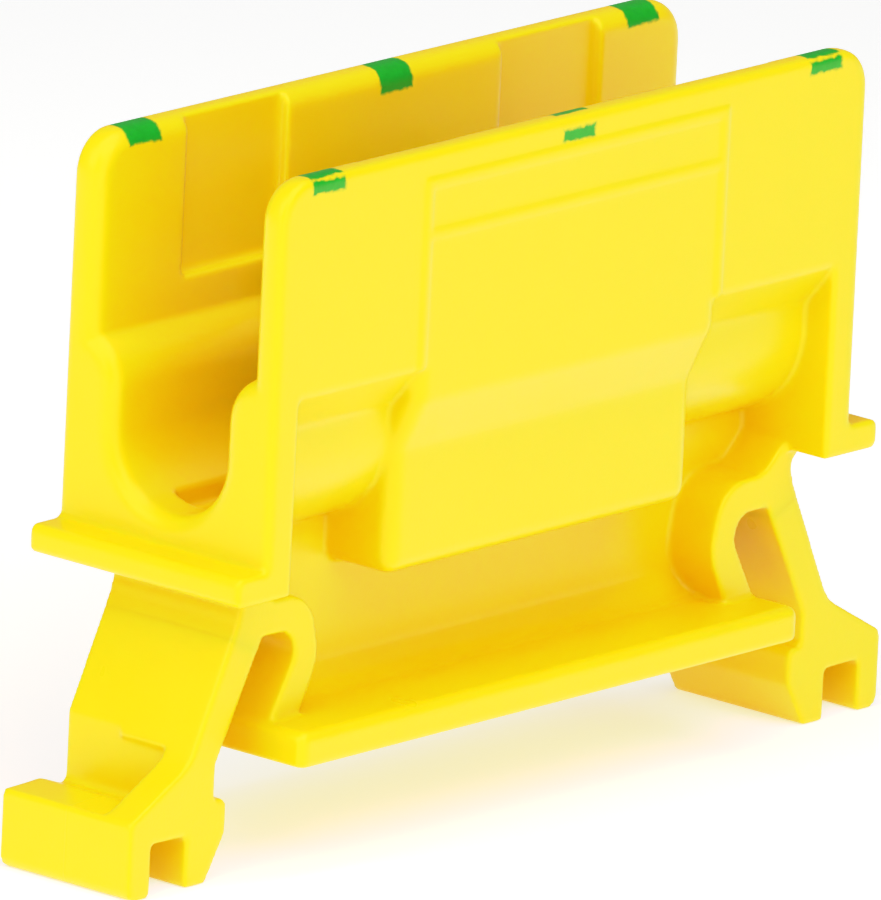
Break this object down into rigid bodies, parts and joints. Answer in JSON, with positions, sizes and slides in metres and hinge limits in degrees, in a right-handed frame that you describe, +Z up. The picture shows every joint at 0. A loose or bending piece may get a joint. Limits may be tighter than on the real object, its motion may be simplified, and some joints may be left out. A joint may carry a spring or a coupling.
{
  "type": "din rail terminal block",
  "caption": "Open-topped feed-through terminal block with two spring feet that clip on a 35 mm top-hat rail, and a screw clamp at each end.",
  "frame": {"origin": "centre of the base plate's underside, which rests on the rail's top face", "axes": "X across the rail, from the left foot to the right foot; Y along the rail; Z up, away from the rail"},
  "size_m": [0.045, 0.0111, 0.0286],
  "materials": {
    "housing_plastic": "injection-moulded polyamide, satin, saturated yellow",
    "tinned_copper": "rolled copper strip, matt tin plate",
    "zinc_plated_steel": "folded steel strip, clear zinc plate",
    "screw_steel": "turned steel, zinc plate"
  },
  "bodies": {
    "housing_body": {"housing": "housing_plastic", "flex_arch_left": "housing_plastic", "flex_arch_right": "housing_plastic", "current_bar": "tinned_copper"},
    "left_foot": {"spring_foot_left": "housing_plastic"},
    "right_foot": {"spring_foot_right": "housing_plastic"},
    "left_cage": {"clamp_cage_left": "zinc_plated_steel"},
    "right_cage": {"clamp_cage_right": "zinc_plated_steel"},
    "left_screw": {"clamp_screw_left": "screw_steel"},
    "right_screw": {"clamp_screw_right": "screw_steel"}
  },
  "joints": [
    {"name": "left_foot_flex", "type": "hinge", "parent": "housing_body", "child": "left_foot", "pos_m": [-0.0157, 0, 0.00575], "axis": [0, 1, 0], "range_deg": [0, 8], "stiffness_Nm_per_rad": 0.8},
    {"name": "right_foot_flex", "type": "hinge", "parent": "housing_body", "child": "right_foot", "pos_m": [0.0157, 0, 0.00575], "axis": [0, -1, 0], "range_deg": [0, 8], "stiffness_Nm_per_rad": 0.8},
    {"name": "left_cage_rise", "type": "slide", "parent": "housing_body", "child": "left_cage", "axis": [0, 0, 1], "range_m": [0, 0.002]},
    {"name": "right_cage_rise", "type": "slide", "parent": "housing_body", "child": "right_cage", "axis": [0, 0, 1], "range_m": [0, 0.002]},
    {"name": "left_screw_turn", "type": "hinge", "parent": "housing_body", "child": "left_screw", "pos_m": [-0.005, 0, 0.018], "axis": [0, 0, 1], "range_deg": [-1440, 0]},
    {"name": "right_screw_turn", "type": "hinge", "parent": "housing_body", "child": "right_screw", "pos_m": [0.005, 0, 0.018], "axis": [0, 0, 1], "range_deg": [-1440, 0]}
  ],
  "couplings": [
    {"joint": "left_screw_turn", "follows": "left_cage_rise", "rad_per_m": -12566},
    {"joint": "right_screw_turn", "follows": "right_cage_rise", "rad_per_m": -12566}
  ]
}
